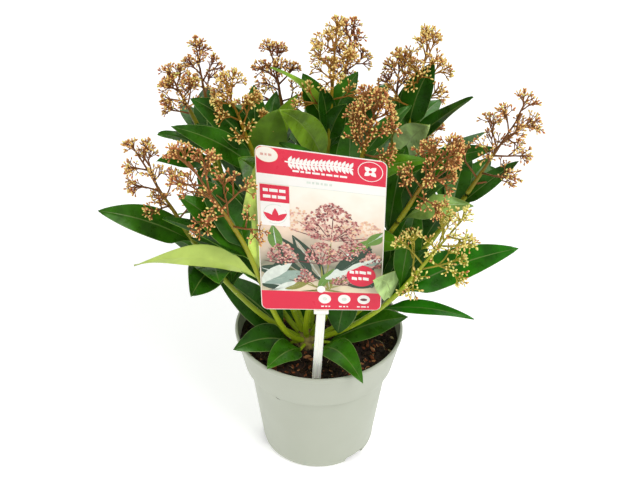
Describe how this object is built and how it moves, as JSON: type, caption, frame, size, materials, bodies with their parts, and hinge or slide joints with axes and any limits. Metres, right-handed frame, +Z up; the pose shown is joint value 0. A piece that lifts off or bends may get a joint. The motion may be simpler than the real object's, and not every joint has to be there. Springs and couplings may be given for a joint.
{
  "type": "potted skimmia",
  "caption": "Bushy evergreen shrub with glossy pointed leaves and upright heads of small flower buds, in a round nursery pot with a plant label.",
  "frame": {"origin": "centre of the pot's flat underside, at the level it stands on", "axes": "+Z up along the pot's axis; -Y is the front, the side the label faces; +X to the right seen from the front"},
  "size_m": [0.2998, 0.2515, 0.3608],
  "materials": {
    "pot_plastic": "satin pale grey-green moulded plastic",
    "soil": "rough dark bark compost",
    "bark": "rough pale brown bark",
    "green_stem": "smooth yellow-green young bark",
    "foliage": "glossy dark green leaves and red-brown bud heads",
    "label_print": "satin printed card",
    "label_stick": "satin white moulded plastic"
  },
  "bodies": {
    "root": {"pot": "pot_plastic", "soil": "soil", "crown": "bark", "label_card": "label_print", "label_stick": "label_stick", "stem_far_left": "green_stem", "stem_front_left": "green_stem", "stem_left_back": "green_stem", "stem_mid_left": "green_stem", "stem_top": "green_stem", "stem_right_top": "green_stem", "stem_mid_right": "green_stem", "stem_right": "green_stem", "stem_far_right": "green_stem", "stem_low_right": "green_stem", "stem_back_left": "green_stem", "stem_back": "green_stem", "stem_back_right": "green_stem", "foliage_far_left": "foliage", "foliage_front_left": "foliage", "foliage_left_back": "foliage", "foliage_mid_left": "foliage", "foliage_top": "foliage", "foliage_right_top": "foliage", "foliage_mid_right": "foliage", "foliage_right": "foliage", "foliage_far_right": "foliage", "foliage_low_right": "foliage", "foliage_back_left": "foliage", "foliage_back": "foliage", "foliage_back_right": "foliage", "foliage_low_left": "foliage", "foliage_low_corner": "foliage", "foliage_low_front": "foliage", "foliage_low_side": "foliage", "foliage_low_inner": "foliage", "foliage_low_behind": "foliage"}
  },
  "joints": []
}
